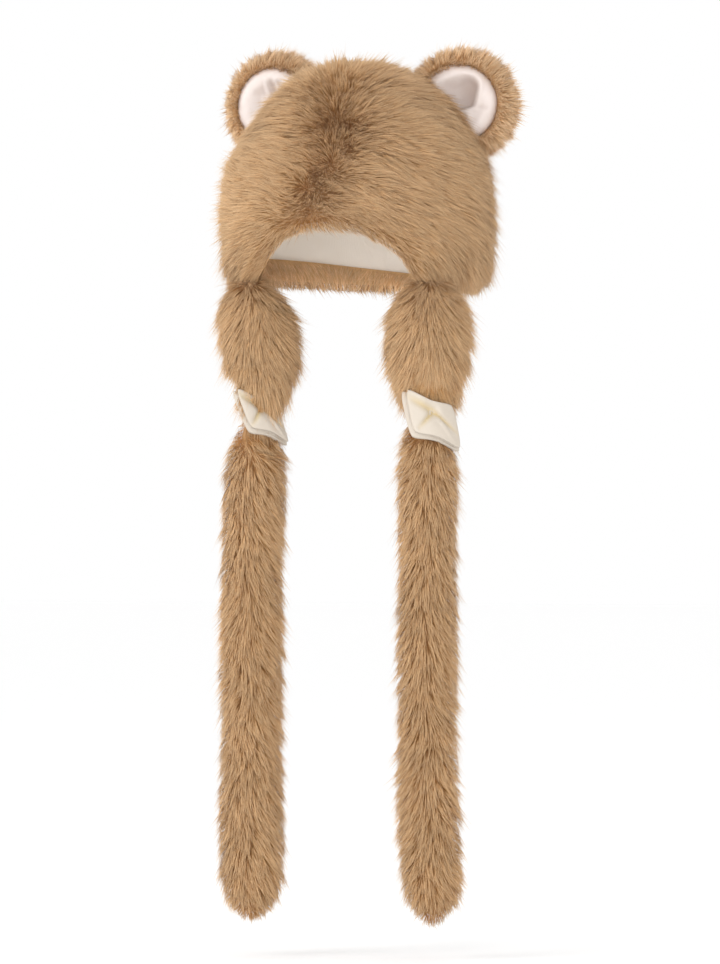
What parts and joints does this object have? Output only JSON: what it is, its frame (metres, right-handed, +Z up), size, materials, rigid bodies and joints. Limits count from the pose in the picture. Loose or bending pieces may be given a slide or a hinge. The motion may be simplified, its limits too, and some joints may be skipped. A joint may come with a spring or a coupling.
{
  "type": "bear ear hat",
  "caption": "Plush fur bonnet with round bear ears, an arched face opening, a head lining, and fur straps that hang from each front corner below a puff and a small satin bow.",
  "frame": {"origin": "top of the head, the highest point of the lining's inner face", "axes": "+Z up along the hanging straps, -Y out of the face opening, +X to the wearer's left"},
  "size_m": [0.2589, 0.2525, 0.7236],
  "materials": {
    "fur": "tan faux fur, soft long pile",
    "lining_cloth": "cream brushed knit",
    "ear_satin": "pale pinkish satin",
    "bow_satin": "ivory satin"
  },
  "bodies": {
    "root": {"lining": "lining_cloth", "crown_fur": "fur", "ear_fur_left": "fur", "ear_fur_right": "fur", "ear_satin_left": "ear_satin", "ear_satin_right": "ear_satin", "puff_left": "fur", "puff_right": "fur", "strap_left": "fur", "strap_right": "fur", "bow_left": "bow_satin", "bow_right": "bow_satin"}
  },
  "joints": []
}
